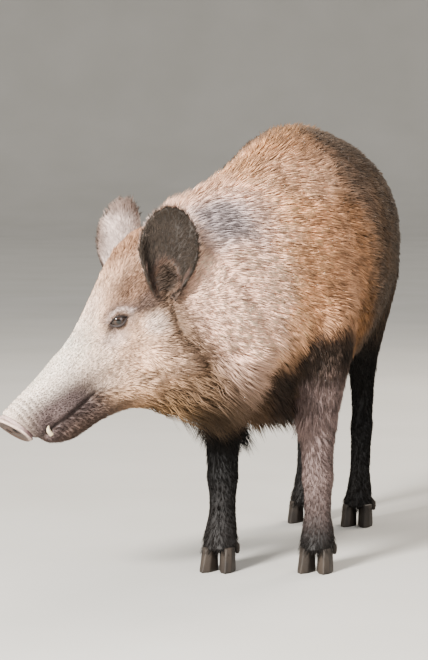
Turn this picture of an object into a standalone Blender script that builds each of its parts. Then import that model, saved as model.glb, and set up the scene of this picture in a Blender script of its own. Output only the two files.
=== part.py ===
"""Wild boar, an adult sow standing with her head lowered and turned to her right.

The animal faces -Y, its left side is +X and the floor is z = 0. All sizes are in metres and
reach out to the tips of the coat. The flesh is modelled whole: lofts along the trunk, the head,
the legs and the tail, and ellipsoids for cheeks and brows, are remeshed into one form. Thin cuts
then part it into the pieces that a person would name.
"""

import math

import bmesh
import bpy
import numpy as np
from mathutils import Matrix, Vector

GAP = 0.0004  # clearance between neighbouring pieces
RING_POINTS = 24
STEPS = 4  # rings made between two rows of a table
SIDES = (("left", 1), ("right", -1))

# ---- Pose ------------------------------------------------------------------------------------
BEND_START = -0.10  # the neck starts to turn here, along the straight body's Y
NECK_TURN = math.radians(45)  # heading of the neck's end, to the right
HEAD_TURN = math.radians(53)  # heading of the head
HEAD_PITCH = math.radians(37)  # how far the mouth line points below the horizon
SEAT_HEIGHT = 0.5235  # of the point of the neck's end that carries the head
HEAD_SEAT = (0.030, 0.060)  # that point, as (forward, up) from the head's own origin
STEP_LENGTH = {"fore_left": 0.0, "fore_right": 0.030, "hind_left": 0.030, "hind_right": 0.005}

# ---- Trunk and neck, along the straight body --------------------------------------------------
# y, top, bottom, half width, height of the widest level as a share of the depth, power of the top
TRUNK = (
    (0.478, 0.600, 0.480, 0.055, 0.55, 2.0),
    (0.455, 0.648, 0.425, 0.096, 0.55, 2.1),
    (0.400, 0.700, 0.385, 0.130, 0.55, 2.1),
    (0.300, 0.745, 0.352, 0.152, 0.56, 2.1),
    (0.160, 0.776, 0.325, 0.168, 0.56, 2.1),
    (0.020, 0.790, 0.304, 0.174, 0.55, 2.0),
    (-0.100, 0.788, 0.288, 0.166, 0.54, 1.9),
    (-0.190, 0.768, 0.282, 0.155, 0.52, 1.8),
    (-0.270, 0.738, 0.290, 0.145, 0.50, 1.8),
    (-0.350, 0.704, 0.310, 0.133, 0.50, 1.8),
    (-0.420, 0.676, 0.340, 0.120, 0.50, 1.9),
    (-0.480, 0.652, 0.380, 0.104, 0.50, 2.0),
)

# ---- Head: u forward along the mouth line from the occiput, w up, v to its left ------------------
# u, top, bottom, half width, widest share, power of the top
CRANIUM = (
    (-0.040, 0.135, -0.040, 0.070, 0.45, 2.0),
    (0.000, 0.158, -0.060, 0.084, 0.45, 2.0),
    (0.050, 0.160, -0.060, 0.088, 0.42, 2.1),
    (0.100, 0.144, -0.050, 0.079, 0.42, 2.3),
    (0.150, 0.119, -0.030, 0.063, 0.45, 2.4),
    (0.200, 0.097, -0.018, 0.048, 0.50, 2.4),
    (0.260, 0.081, -0.010, 0.039, 0.50, 2.4),
    (0.320, 0.070, -0.008, 0.035, 0.48, 2.4),
    (0.412, 0.061, -0.006, 0.032, 0.48, 2.4),
)
JAW = (
    (-0.030, 0.020, -0.104, 0.066, 0.60, 2.0),
    (0.030, 0.020, -0.120, 0.078, 0.60, 2.0),
    (0.090, 0.020, -0.120, 0.071, 0.60, 2.0),
    (0.150, 0.012, -0.096, 0.055, 0.60, 2.0),
    (0.210, 0.004, -0.074, 0.042, 0.60, 2.2),
    (0.270, 0.000, -0.059, 0.034, 0.60, 2.2),
    (0.320, -0.002, -0.054, 0.029, 0.60, 2.2),
    (0.348, -0.003, -0.042, 0.025, 0.58, 2.2),
    (0.367, -0.004, -0.027, 0.018, 0.55, 2.2),
)
# name: centre (u, v, w), radii. Each has a twin on the right side.
HEAD_BUMPS = {
    "cheek": ((0.070, 0.052, -0.010), (0.085, 0.040, 0.080)),
    "cheekbone": ((0.105, 0.054, 0.036), (0.072, 0.022, 0.026)),
    "brow": ((0.138, 0.041, 0.088), (0.045, 0.021, 0.016)),
    "lip": ((0.300, 0.024, 0.008), (0.040, 0.015, 0.016)),
}
EYE_PLACE = (0.150, 0.0475, 0.071)
EYE_RADIUS = 0.0145
NOSE_CENTRE = (0.394, 0.0, 0.0265)
NOSE_TILT = math.radians(15)  # its face leans down
NOSE_HALF_WIDTH, NOSE_HALF_HEIGHT, NOSE_DEPTH = 0.034, 0.034, 0.016
NOSTRIL_RADIUS, NOSTRIL_SPREAD, NOSTRIL_DEPTH = 0.0065, 0.0140, 0.009
TUSK_PLACE = (0.353, 0.0240, -0.006)
TUSK_LENGTH, TUSK_RADIUS = 0.021, 0.0040
MOUTH_CORNER, MOUTH_LEVEL = 0.248, -0.0065

# ---- Ears ---------------------------------------------------------------------------------------
# side: root, and the direction from root to tip. The right ear is held a little higher.
EAR_SEATS = {
    "left": ((0.070, 0.074, 0.058), (-0.595, 0.22, 0.775)),
    "right": ((0.066, -0.074, 0.068), (-0.560, -0.20, 0.810)),
}
EAR_OPENS = (0.45, 0.89, 0.0)  # where the left one's hollow faces
EAR_LENGTH, EAR_THICKNESS = 0.152, 0.007
EAR_BACK = 0.016  # from its axis to the back of its sheet
# share of the length, half the width along the curved sheet, radius of its curl
EAR_SHEET = (
    (0.00, 0.047, 0.018),
    (0.25, 0.060, 0.034),
    (0.50, 0.063, 0.052),
    (0.72, 0.053, 0.062),
    (0.90, 0.033, 0.070),
    (1.00, 0.012, 0.075),
)

# ---- Legs: z, x, y of the ring's middle, half width, reach forward, reach back --------------------
FORELEG = (
    (0.620, 0.080, -0.140, 0.030, 0.060, 0.070),
    (0.540, 0.090, -0.175, 0.052, 0.090, 0.095),
    (0.460, 0.093, -0.208, 0.062, 0.095, 0.105),
    (0.390, 0.090, -0.215, 0.058, 0.076, 0.090),
    (0.330, 0.087, -0.217, 0.049, 0.056, 0.066),
    (0.270, 0.085, -0.220, 0.040, 0.042, 0.046),
    (0.215, 0.084, -0.224, 0.035, 0.036, 0.036),
    (0.180, 0.084, -0.224, 0.034, 0.035, 0.034),
    (0.140, 0.084, -0.222, 0.027, 0.027, 0.027),
    (0.100, 0.084, -0.222, 0.026, 0.026, 0.027),
    (0.070, 0.085, -0.226, 0.031, 0.031, 0.032),
    (0.045, 0.085, -0.236, 0.030, 0.032, 0.030),
    (0.026, 0.085, -0.242, 0.025, 0.028, 0.024),
)
HINDLEG = (
    (0.640, 0.064, 0.340, 0.045, 0.080, 0.090),
    (0.560, 0.076, 0.340, 0.061, 0.120, 0.120),
    (0.480, 0.076, 0.330, 0.059, 0.122, 0.126),
    (0.410, 0.069, 0.340, 0.049, 0.096, 0.104),
    (0.350, 0.062, 0.366, 0.038, 0.068, 0.074),
    (0.295, 0.058, 0.394, 0.030, 0.046, 0.056),
    (0.250, 0.056, 0.411, 0.027, 0.036, 0.050),
    (0.215, 0.056, 0.412, 0.026, 0.033, 0.036),
    (0.160, 0.056, 0.404, 0.022, 0.024, 0.026),
    (0.105, 0.056, 0.396, 0.022, 0.023, 0.024),
    (0.070, 0.056, 0.390, 0.027, 0.029, 0.029),
    (0.045, 0.056, 0.378, 0.027, 0.031, 0.029),
    (0.026, 0.056, 0.372, 0.024, 0.027, 0.023),
)
LEG_SWING_HEIGHT = 0.50  # a step moves a leg's foot and leaves it unmoved from here up

# ---- Feet ---------------------------------------------------------------------------------------
HOOF_LENGTH, HOOF_HALF_WIDTH, HOOF_HEIGHT = 0.060, 0.0150, 0.036
HOOF_SPREAD = 0.0165  # from the foot's middle to a hoof's
HOOF_SPLAY = math.radians(6)
DEWCLAW_LENGTH, DEWCLAW_RADIUS = 0.030, 0.0095
DEWCLAW_HEIGHT, DEWCLAW_SPREAD, DEWCLAW_BACK = 0.052, 0.0215, 0.030

# ---- Tail: distance down it, distance behind its root, radius --------------------------------------
TAIL_ROOT = (0.0, 0.446, 0.630)
TAIL = (
    (0.000, 0.000, 0.016),
    (0.020, 0.020, 0.014),
    (0.070, 0.036, 0.0115),
    (0.130, 0.038, 0.0095),
    (0.180, 0.036, 0.0130),
    (0.225, 0.034, 0.0120),
    (0.262, 0.032, 0.0040),
)

# ---- One form out of many: remeshed, smoothed where forms meet, thinned --------------------------
VOXEL = 0.0065
# Where neighbouring forms flow into each other: centre, radius. The first number is mirrored.
BLENDS = (
    ((0.12, -0.19, 0.44), 0.19),
    ((0.12, 0.32, 0.48), 0.22),
    ((0.04, -0.22, 0.34), 0.10),
    ((0.05, 0.36, 0.38), 0.12),
)
# The same on the head, in its own (v, u, w).
HEAD_BLENDS = (
    ((0.060, 0.100, -0.030), 0.080),
    ((0.055, 0.010, -0.020), 0.100),
    ((0.030, 0.230, -0.020), 0.045),
    ((0.000, 0.000, -0.080), 0.110),
    ((0.040, 0.100, 0.110), 0.050),
    ((0.030, -0.010, 0.130), 0.100),
)
BLEND_ROUNDS, OVERALL_ROUNDS, SMOOTHING = 24, 4, 0.5
EVEN_TRIANGLES = 5000  # of the whole form, after an even decimation
BODY_TRIANGLES = 2700  # after a second one that leaves the head as it is

# ---- Cuts between the pieces of flesh. Boxes are (low corner, high corner) ------------------------
FAR = 0.6  # reaches past the animal from any of these cuts
HEAD_BOX = ((0.0, -0.2, -0.14), (FAR, 0.2, 0.25))
HEAD_CUT_LEAN = math.radians(20)  # nearer the face on its right
SNOUT_BOX = ((0.250, -0.2, -0.1), (FAR, 0.2, 0.3))
# The lower jaw's region in (u, w): along the mouth, then back and down to the jaw's angle.
JAW_OUTLINE = (
    (0.500, -0.300),
    (0.500, MOUTH_LEVEL),
    (MOUTH_CORNER, MOUTH_LEVEL),
    (0.200, -0.034),
    (0.120, -0.062),
    (0.060, -0.078),
    (0.030, -0.110),
    (0.030, -0.300),
)
JAW_HALF_WIDTH = 0.15
NECK_CUT = (-0.27, 0.55)  # y along the straight body, z
NECK_CUT_LEAN = math.radians(-22)  # back, with the shoulder
# The region of each upper leg: an ellipsoid's centre (x, y, z) and radii.
LEG_ZONES = {
    "fore": ((0.122, -0.225, 0.090), (0.112, 0.150, 0.385)),
    "hind": ((0.118, 0.370, 0.080), (0.112, 0.200, 0.465)),
}
KNEE_HEIGHT = {"fore": 0.172, "hind": 0.205}

# ---- Looks ------------------------------------------------------------------------------------------
SHARP_EDGE = math.radians(40)  # edges bent by more than this are shaded as edges
COLOURS = {  # base colour, roughness
    "coat": ((0.36, 0.27, 0.21), 0.85),
    "head_coat": ((0.50, 0.41, 0.35), 0.80),
    "leg_coat": ((0.075, 0.065, 0.058), 0.80),
    "nose": ((0.45, 0.34, 0.31), 0.55),
    "hoof": ((0.045, 0.040, 0.036), 0.45),
    "eye": ((0.020, 0.012, 0.008), 0.08),
    "tusk": ((0.72, 0.66, 0.54), 0.35),
}
PAINT = (  # words in a piece's name, key in COLOURS
    (("hoof", "dewclaw"), "hoof"),
    (("leg", "tail"), "leg_coat"),
    (("trunk", "neck"), "coat"),
    (("nose",), "nose"),
    (("eye",), "eye"),
    (("tusk",), "tusk"),
)


# ---- Frames -------------------------------------------------------------------------------------
def heading(turn):
    """The level direction of a body that has turned this far to its right."""
    return Vector((-math.sin(turn), -math.cos(turn), 0.0))


def neck_heading(y):
    """How far the body's line has turned at this place of the straight body."""
    end = TRUNK[-1][0]
    share = min(max((BEND_START - y) / (BEND_START - end), 0.0), 1.0)
    return NECK_TURN * share


def spine_point(y, z):
    """A point on the midline: the straight body's, carried along the turning neck."""
    slices = 40
    place = Vector((0.0, max(y, BEND_START), z))
    length = max(BEND_START - y, 0.0)
    for i in range(slices):
        middle = BEND_START - length * (i + 0.5) / slices
        place += heading(neck_heading(middle)) * (length / slices)
    return place


def head_matrix():
    """Carries the head's own (u, v, w) to the world."""
    level = heading(HEAD_TURN)
    left = Vector((0, 0, 1)).cross(level)
    forward = level * math.cos(HEAD_PITCH) - Vector((0, 0, 1)) * math.sin(HEAD_PITCH)
    up = forward.cross(left)
    seat = spine_point(TRUNK[-1][0], SEAT_HEIGHT)
    origin = seat - forward * HEAD_SEAT[0] - up * HEAD_SEAT[1]
    turned = Matrix((forward, left, up)).transposed().to_4x4()
    return Matrix.Translation(origin) @ turned


# ---- Mesh tools -----------------------------------------------------------------------------------
def through(rows, steps=STEPS):
    """The rows, and steps - 1 between each two, on a smooth curve through them (Catmull-Rom)."""
    rows = np.array(rows, float)
    padded = np.vstack([2 * rows[0] - rows[1], rows, 2 * rows[-1] - rows[-2]])
    made = []
    for a, b, c, d in zip(padded, padded[1:], padded[2:], padded[3:]):
        for t in np.arange(steps) / steps:
            bend = (2 * a - 5 * b + 4 * c - d) * t**2 + (3 * b - a - 3 * c + d) * t**3
            made.append(b + 0.5 * ((c - a) * t + bend))
    return [*made, rows[-1]]


def ring(centre, side, up, half_width, rise, drop, top_power=2.0, low_power=2.0):
    """An egg-shaped ring. Power 2 is an ellipse, less is more pointed and more is squarer."""
    points = []
    for i in range(RING_POINTS):
        c, s = math.cos(2 * math.pi * i / RING_POINTS), math.sin(2 * math.pi * i / RING_POINTS)
        power = top_power if s > 0 else low_power
        across = math.copysign(abs(c) ** (2 / power), c) * half_width
        along = math.copysign(abs(s) ** (2 / power), s) * (rise if s > 0 else drop)
        points.append(centre + side * across + up * along)
    return points


def mesh_object(name, bm, smooth=True):
    bmesh.ops.recalc_face_normals(bm, faces=bm.faces)
    mesh = bpy.data.meshes.new(name)
    bm.to_mesh(mesh)
    bm.free()
    if smooth:
        mesh.shade_smooth()
    made = bpy.data.objects.new(name, mesh)
    bpy.context.scene.collection.objects.link(made)
    return made


def loft(name, rings):
    """A closed skin over rings that have the same number of points."""
    bm = bmesh.new()
    loops = [[bm.verts.new(p) for p in points] for points in rings]
    count = len(rings[0])
    for a, b in zip(loops, loops[1:]):
        for i in range(count):
            j = (i + 1) % count
            bm.faces.new((a[i], a[j], b[j], b[i]))
    bm.faces.new(loops[0])
    bm.faces.new(loops[-1])
    return mesh_object(name, bm)


def ellipsoid(name, matrix, radii, segments=24, rings=14):
    bm = bmesh.new()
    sized = matrix @ Matrix.Diagonal((*radii, 1.0))
    bmesh.ops.create_uvsphere(bm, u_segments=segments, v_segments=rings, radius=1.0, matrix=sized)
    return mesh_object(name, bm)


def block(name, matrix, low, high, grow=0.0):
    """A box from corner low to corner high in the matrix's own axes, grown on every side."""
    bm = bmesh.new()
    low, high = Vector(low) - Vector((grow,) * 3), Vector(high) + Vector((grow,) * 3)
    sized = matrix @ Matrix.Translation((low + high) / 2) @ Matrix.Diagonal((*(high - low), 1.0))
    bmesh.ops.create_cube(bm, size=1.0, matrix=sized)
    return mesh_object(name, bm, smooth=False)


def remove(*objects):
    for obj in objects:
        bpy.data.objects.remove(obj)


def applied(obj, name=None):
    """A new object that holds obj's mesh with its modifiers applied, in place of obj."""
    bpy.context.view_layer.update()
    graph = bpy.context.evaluated_depsgraph_get()
    mesh = bpy.data.meshes.new_from_object(obj.evaluated_get(graph))
    name = name or obj.name
    remove(obj)
    made = bpy.data.objects.new(name, mesh)
    made.name = name
    bpy.context.scene.collection.objects.link(made)
    return made


def duplicate(obj, name):
    made = bpy.data.objects.new(name, obj.data.copy())
    bpy.context.scene.collection.objects.link(made)
    return made


def boolean(obj, other, operation):
    """obj after the Boolean, as a new object of the same name. The other one goes."""
    modifier = obj.modifiers.new(operation, "BOOLEAN")
    modifier.operation = operation
    modifier.solver = "EXACT"
    modifier.object = other
    made = applied(obj)
    remove(other)
    return made


def joined(name, objects):
    """Several closed shapes in one mesh, still overlapping."""
    bm = bmesh.new()
    for obj in objects:
        bm.from_mesh(obj.data)
    remove(*objects)
    return mesh_object(name, bm)


def grown(obj, name, by):
    """A copy of a closed shape, pushed out along its normals."""
    made = duplicate(obj, name)
    normals = [v.normal.copy() for v in made.data.vertices]
    for vertex, normal in zip(made.data.vertices, normals):
        vertex.co += normal * by
    return made


def parted(obj, zone_at, name):
    """(the piece of obj inside a zone, the rest of it), a gap apart. zone_at(grow) makes the zone."""
    inside = boolean(duplicate(obj, name), zone_at(0.0), "INTERSECT")
    rest = boolean(obj, zone_at(GAP), "DIFFERENCE")
    return inside, rest


# ---- Forms of the flesh -----------------------------------------------------------------------------
def trunk_form():
    rings = []
    for y, top, bottom, half_width, widest, power in through(TRUNK):
        level = bottom + widest * (top - bottom)
        turned = heading(neck_heading(y))
        side = Vector((0, 0, 1)).cross(turned)
        centre = spine_point(y, level)
        rise, drop = top - level, level - bottom
        rings.append(ring(centre, side, Vector((0, 0, 1)), half_width, rise, drop, power, 2.1))
    return loft("trunk_form", rings)


def head_form(name, rows, low_power):
    to_world = head_matrix()
    turn = to_world.to_3x3()
    side, up = turn @ Vector((0, 1, 0)), turn @ Vector((0, 0, 1))
    rings = []
    for u, top, bottom, half_width, widest, power in through(rows):
        level = bottom + widest * (top - bottom)
        centre = to_world @ Vector((u, 0, level))
        rise, drop = top - level, level - bottom
        rings.append(ring(centre, side, up, half_width, rise, drop, power, low_power))
    return loft(name, rings)


def head_bumps():
    made = []
    for name, ((u, v, w), radii) in HEAD_BUMPS.items():
        for sign in (1, -1):
            place = head_matrix() @ Matrix.Translation((u, sign * v, w))
            made.append(ellipsoid(name, place, radii))
    return made


def leg_names():
    return [(f"{pair}_{side}", pair, sign) for pair in ("fore", "hind") for side, sign in SIDES]


def step_at(leg, z):
    """How far forward a step carries the leg at this height."""
    return STEP_LENGTH[leg] * min(max(1 - z / LEG_SWING_HEIGHT, 0.0), 1.0)


def leg_form(leg, pair, sign):
    rows = FORELEG if pair == "fore" else HINDLEG
    rings = []
    for z, x, y, half_width, front, back in through(rows):
        centre = Vector((sign * x, y - step_at(leg, z), z))
        rings.append(ring(centre, Vector((1, 0, 0)), Vector((0, -1, 0)), half_width, front, back))
    return loft(leg + "_form", rings)


def smooth_where_forms_meet(body):
    """Smooths the remeshed form, most of all in the blends."""
    group = body.vertex_groups.new(name="blend")
    places = [(Vector((s * x, y, z)), r) for (x, y, z), r in BLENDS for s in (1, -1)]
    to_world = head_matrix()
    for (v, u, w), radius in HEAD_BLENDS:
        places += [(to_world @ Vector((u, s * v, w)), radius) for s in (1, -1)]
    for vertex in body.data.vertices:
        reach = max(1 - (vertex.co - c).length / radius for c, radius in places)
        group.add([vertex.index], min(max(2 * reach, 0.0), 1.0), "REPLACE")
    blend = body.modifiers.new("blend", "SMOOTH")
    blend.vertex_group, blend.iterations, blend.factor = group.name, BLEND_ROUNDS, SMOOTHING
    overall = body.modifiers.new("overall", "SMOOTH")
    overall.iterations, overall.factor = OVERALL_ROUNDS, SMOOTHING
    return applied(body)


def triangle_count(obj):
    return sum(len(p.vertices) - 2 for p in obj.data.polygons)


def decimated(body, triangles, group=None):
    thin = body.modifiers.new("thin", "DECIMATE")
    thin.ratio = triangles / triangle_count(body)
    thin.use_collapse_triangulate = True
    if group:
        thin.vertex_group, thin.vertex_group_factor = group.name, 0.0
    return applied(body)


def thinned(body):
    """Decimates the form evenly, and then all but the head, which stays finer."""
    body = decimated(body, EVEN_TRIANGLES)
    group = body.vertex_groups.new(name="coarse")
    to_head = head_matrix().inverted()
    for vertex in body.data.vertices:
        if (to_head @ vertex.co).x < 0.0:
            group.add([vertex.index], 1.0, "REPLACE")
    return decimated(body, BODY_TRIANGLES, group)


def flesh():
    """The animal's whole form without ears, tail, feet and nose disc."""
    forms = [trunk_form(), head_form("cranium", CRANIUM, 2.3), head_form("jaw_form", JAW, 2.2)]
    forms += head_bumps()
    forms += [leg_form(*leg) for leg in leg_names()]
    body = joined("body", forms)
    remesh = body.modifiers.new("remesh", "REMESH")
    remesh.mode, remesh.voxel_size = "VOXEL", VOXEL
    return thinned(smooth_where_forms_meet(applied(body)))


# ---- Parting the flesh --------------------------------------------------------------------------------
def head_zone(grow):
    lean = Matrix.Rotation(HEAD_CUT_LEAN, 4, "Z")
    return block("zone", head_matrix() @ lean, *HEAD_BOX, grow)


def snout_zone(grow):
    return block("zone", head_matrix(), *SNOUT_BOX, grow)


def jaw_zone(grow):
    """Below the mouth in front, and below a line from its corner to the jaw's angle behind."""
    bm = bmesh.new()
    right = [head_matrix() @ Vector((u, -JAW_HALF_WIDTH, w)) for u, w in JAW_OUTLINE]
    outline = [bm.verts.new(p) for p in right]
    face = bm.faces.new(outline)
    swept = bmesh.ops.extrude_face_region(bm, geom=[face])["geom"]
    moved = [v for v in swept if isinstance(v, bmesh.types.BMVert)]
    across = head_matrix().to_3x3() @ Vector((0, 2 * JAW_HALF_WIDTH, 0))
    bmesh.ops.translate(bm, verts=moved, vec=across)
    zone = mesh_object("jaw_region", bm, smooth=False)
    made = grown(zone, "zone", 2 * grow)
    remove(zone)
    return made


def neck_zone(grow):
    """All in front of a cut that leans back with the shoulder."""
    turned = Matrix.Rotation(-neck_heading(NECK_CUT[0]), 4, "Z")
    place = Matrix.Translation(spine_point(*NECK_CUT)) @ turned
    lean = Matrix.Rotation(NECK_CUT_LEAN, 4, "X")
    return block("zone", place @ lean, (-FAR, -FAR, -FAR), (FAR, 0.0, FAR), grow)


def leg_zone(leg, pair, sign):
    (x, y, z), radii = LEG_ZONES[pair]

    def zone(grow):
        place = Matrix.Translation((sign * x, y - STEP_LENGTH[leg] / 2, z))
        return ellipsoid("zone", place, [r + grow for r in radii], 20, 14)

    return zone


def lower_leg_zone(pair):
    def zone(grow):
        high = (FAR, FAR, KNEE_HEIGHT[pair])
        return block("zone", Matrix.Identity(4), (-FAR, -FAR, -FAR), high, grow)

    return zone


# ---- Pieces made by themselves ---------------------------------------------------------------------------
def ear(name, side_name, sign):
    """A leaf-shaped sheet, curled about its own length, whose root sits in the head."""
    turn = head_matrix().to_3x3()
    place, direction = EAR_SEATS[side_name]
    root = head_matrix() @ Vector(place)
    axis = (turn @ Vector(direction)).normalized()
    opens = turn @ Vector((EAR_OPENS[0], sign * EAR_OPENS[1], EAR_OPENS[2]))
    opens = (opens - axis * opens.dot(axis)).normalized()
    side = axis.cross(opens)
    bm = bmesh.new()
    columns = 7
    grid = []
    for share, half_width, radius in through(EAR_SHEET, 2):
        row = []
        for i in range(columns):
            angle = (2 * i / (columns - 1) - 1) * half_width / radius
            across = side * (radius * math.sin(angle))
            deep = opens * (radius * (1 - math.cos(angle)) - EAR_BACK)
            row.append(bm.verts.new(root + axis * (share * EAR_LENGTH) + across + deep))
        grid.append(row)
    for a, b in zip(grid, grid[1:]):
        for i in range(columns - 1):
            bm.faces.new((a[i], a[i + 1], b[i + 1], b[i]))
    made = mesh_object(name, bm)
    solidify = made.modifiers.new("thickness", "SOLIDIFY")
    solidify.thickness, solidify.offset = EAR_THICKNESS, 0.0
    return applied(made)


def eye(name, sign):
    place = Matrix.Translation((EYE_PLACE[0], sign * EYE_PLACE[1], EYE_PLACE[2]))
    return ellipsoid(name, head_matrix() @ place, (EYE_RADIUS,) * 3, 12, 8)


def tusk(name, sign):
    """A short lower canine, curving up and outward over the lip."""
    to_world = head_matrix()
    turn = to_world.to_3x3()
    rings = []
    for share in np.linspace(-0.45, 1.0, 7):
        lean = 0.20 * share
        place = Vector(TUSK_PLACE) + TUSK_LENGTH * Vector((-lean * share, lean, share))
        radius = TUSK_RADIUS * (1 - max(share, 0.0) ** 1.6 * 0.85)
        place.y *= sign
        sides = turn @ Vector((0, 1, 0)), turn @ Vector((1, 0, 0))
        rings.append(ring(to_world @ place, *sides, radius * 0.8, radius, radius)[::3])
    return loft(name, rings)


def nose_matrix():
    """From the disc's own axes, with x out of its face, to the world."""
    return head_matrix() @ Matrix.Translation(NOSE_CENTRE) @ Matrix.Rotation(NOSE_TILT, 4, "Y")


def nose_disc(name):
    """The flat rooting disc at the snout's end, with its two nostrils."""
    to_world = nose_matrix()
    turn = to_world.to_3x3()
    side, up = turn @ Vector((0, 1, 0)), turn @ Vector((0, 0, 1))
    rings = []
    for along, share in ((-0.5, 0.93), (-0.15, 1.0), (0.2, 1.0), (0.5, 0.90)):
        centre = to_world @ Vector((along * NOSE_DEPTH, 0, 0))
        half_width, half_height = NOSE_HALF_WIDTH * share, NOSE_HALF_HEIGHT * share
        rings.append(ring(centre, side, up, half_width, half_height, half_height, 2.3, 2.1))
    made = loft(name, rings)
    for sign in (1, -1):
        bm = bmesh.new()
        place = Matrix.Translation((NOSE_DEPTH / 2, sign * NOSTRIL_SPREAD, 0.001))
        size = {"radius1": NOSTRIL_RADIUS * 0.6, "radius2": NOSTRIL_RADIUS * 1.2}
        upright = to_world @ place @ Matrix.Rotation(math.pi / 2, 4, "Y")
        bmesh.ops.create_cone(
            bm, cap_ends=True, segments=14, depth=2 * NOSTRIL_DEPTH, matrix=upright, **size
        )
        made = boolean(made, mesh_object("nostril", bm), "DIFFERENCE")
    return made


def tail(name):
    root = Vector(TAIL_ROOT)
    rings = []
    for down, behind, radius in through(TAIL, 2):
        centre = root + Vector((0.006 * math.sin(20 * down), behind, -down))
        sides = Vector((1, 0, 0)), Vector((0, 0.55, 0.83) if down < 0.02 else (0, 1, 0))
        rings.append(ring(centre, *sides, radius, radius, radius)[::2])
    return loft(name, rings)


def foot_origin(leg, pair, sign):
    """The middle of the foot on the floor, under the leg's last ring."""
    z, x, y = (FORELEG if pair == "fore" else HINDLEG)[-1][:3]
    return Matrix.Translation((sign * x, y - step_at(leg, 0.0), 0.0))


def hoof(name, origin, sign):
    """One toe's hoof: a flat sole, a steep wall and a blunt point in front."""
    place = origin @ Matrix.Translation((sign * HOOF_SPREAD, 0, 0)) @ Matrix.Rotation(
        sign * HOOF_SPLAY, 4, "Z"
    )
    rings = []
    # height, half width, reach forward, reach back, as shares of the hoof's sizes
    for height, wide, front, back in (
        (0.00, 0.97, 0.64, 0.40),
        (0.06, 1.00, 0.65, 0.41),
        (0.50, 0.97, 0.50, 0.42),
        (0.90, 0.92, 0.35, 0.42),
        (1.00, 0.86, 0.32, 0.40),
    ):
        sides = place.to_3x3() @ Vector((1, 0, 0)), place.to_3x3() @ Vector((0, -1, 0))
        reach = HOOF_LENGTH * front, HOOF_LENGTH * back
        centre = place @ Vector((0, 0, HOOF_HEIGHT * height))
        rings.append(ring(centre, *sides, HOOF_HALF_WIDTH * wide, *reach, 1.7, 2.2)[::3])
    return loft(name, rings)


def dewclaw(name, origin, sign):
    """One of the two small hooves behind and above the main pair."""
    start = origin @ Vector((sign * DEWCLAW_SPREAD, DEWCLAW_BACK - 0.012, DEWCLAW_HEIGHT))
    along = Vector((sign * 0.25, 0.48, -0.84)).normalized()
    side = along.cross(Vector((0, 1, 0))).normalized()
    rings = []
    for share, wide in ((0.0, 0.75), (0.35, 1.0), (0.85, 0.6), (1.0, 0.2)):
        radius = DEWCLAW_RADIUS * wide
        centre = start + along * (share * DEWCLAW_LENGTH)
        rings.append(ring(centre, side, along.cross(side), radius, radius * 0.8, radius * 0.8)[::4])
    return loft(name, rings)


# ---- Assembly -------------------------------------------------------------------------------------
def with_room(piece, *hard_parts):
    """piece with a socket for each hard part, a gap wider than it."""
    for hard in hard_parts:
        piece = boolean(piece, grown(hard, "room", 1.5 * GAP), "DIFFERENCE")
    return piece


def outside(made, flesh_and_gap):
    """made without what lies in the flesh or closer to it than a gap."""
    return boolean(made, duplicate(flesh_and_gap, "cutter"), "DIFFERENCE")


def before_disc():
    """Everything in front of the nose disc's back, where the snout gives way to it."""
    return block("zone", nose_matrix(), (-NOSE_DEPTH / 2 - GAP, -FAR, -FAR), (FAR, FAR, FAR))


def build_head(head):
    jaw, head = parted(head, jaw_zone, "lower_jaw")
    snout, head = parted(head, snout_zone, "snout")
    nose_disc("nose_disc")
    snout = boolean(snout, before_disc(), "DIFFERENCE")
    for side, sign in SIDES:
        head = with_room(head, eye("eye_" + side, sign))
        canine = tusk("tusk_" + side, sign)
        jaw = with_room(jaw, canine)
        snout = with_room(snout, canine)


def build_foot(leg, pair, sign, lower):
    """Two hooves under the leg's flat end and two dewclaws behind them."""
    origin = foot_origin(leg, pair, sign)
    below = block("zone", origin, (-FAR, -FAR, -FAR), (FAR, FAR, HOOF_HEIGHT + GAP))
    lower = boolean(lower, below, "DIFFERENCE")
    for toe, toe_sign in (("outer", sign), ("inner", -sign)):
        hoof(f"{leg}_{toe}_hoof", origin, toe_sign)
        lower = with_room(lower, dewclaw(f"{leg}_{toe}_dewclaw", origin, toe_sign))


def build_legs(body):
    for leg, pair, sign in leg_names():
        upper, body = parted(body, leg_zone(leg, pair, sign), f"{leg}_upper_leg")
        lower, upper = parted(upper, lower_leg_zone(pair), f"{leg}_lower_leg")
        build_foot(leg, pair, sign, lower)
    return body


def colour_of(name):
    """The key in COLOURS for a piece."""
    for words, colour in PAINT:
        if any(word in name for word in words):
            return colour
    return "head_coat"


def paint(obj):
    colour, roughness = COLOURS[colour_of(obj.name)]
    material = bpy.data.materials.new(obj.name)
    material.use_nodes = True
    principled = material.node_tree.nodes["Principled BSDF"]
    principled.inputs["Base Color"].default_value = (*colour, 1.0)
    principled.inputs["Roughness"].default_value = roughness
    principled.inputs["Metallic"].default_value = 0.0
    material.diffuse_color = (*colour, 1.0)
    obj.data.materials.clear()
    obj.data.materials.append(material)


def centre_on_floor(objects):
    """Moves every mesh so that the middle of the whole box's bottom is the origin."""
    points = [vertex.co for obj in objects for vertex in obj.data.vertices]
    low = [min(p[i] for p in points) for i in range(3)]
    high = [max(p[i] for p in points) for i in range(3)]
    move = Matrix.Translation((-(low[0] + high[0]) / 2, -(low[1] + high[1]) / 2, -low[2]))
    for obj in objects:
        obj.data.transform(move)


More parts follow.
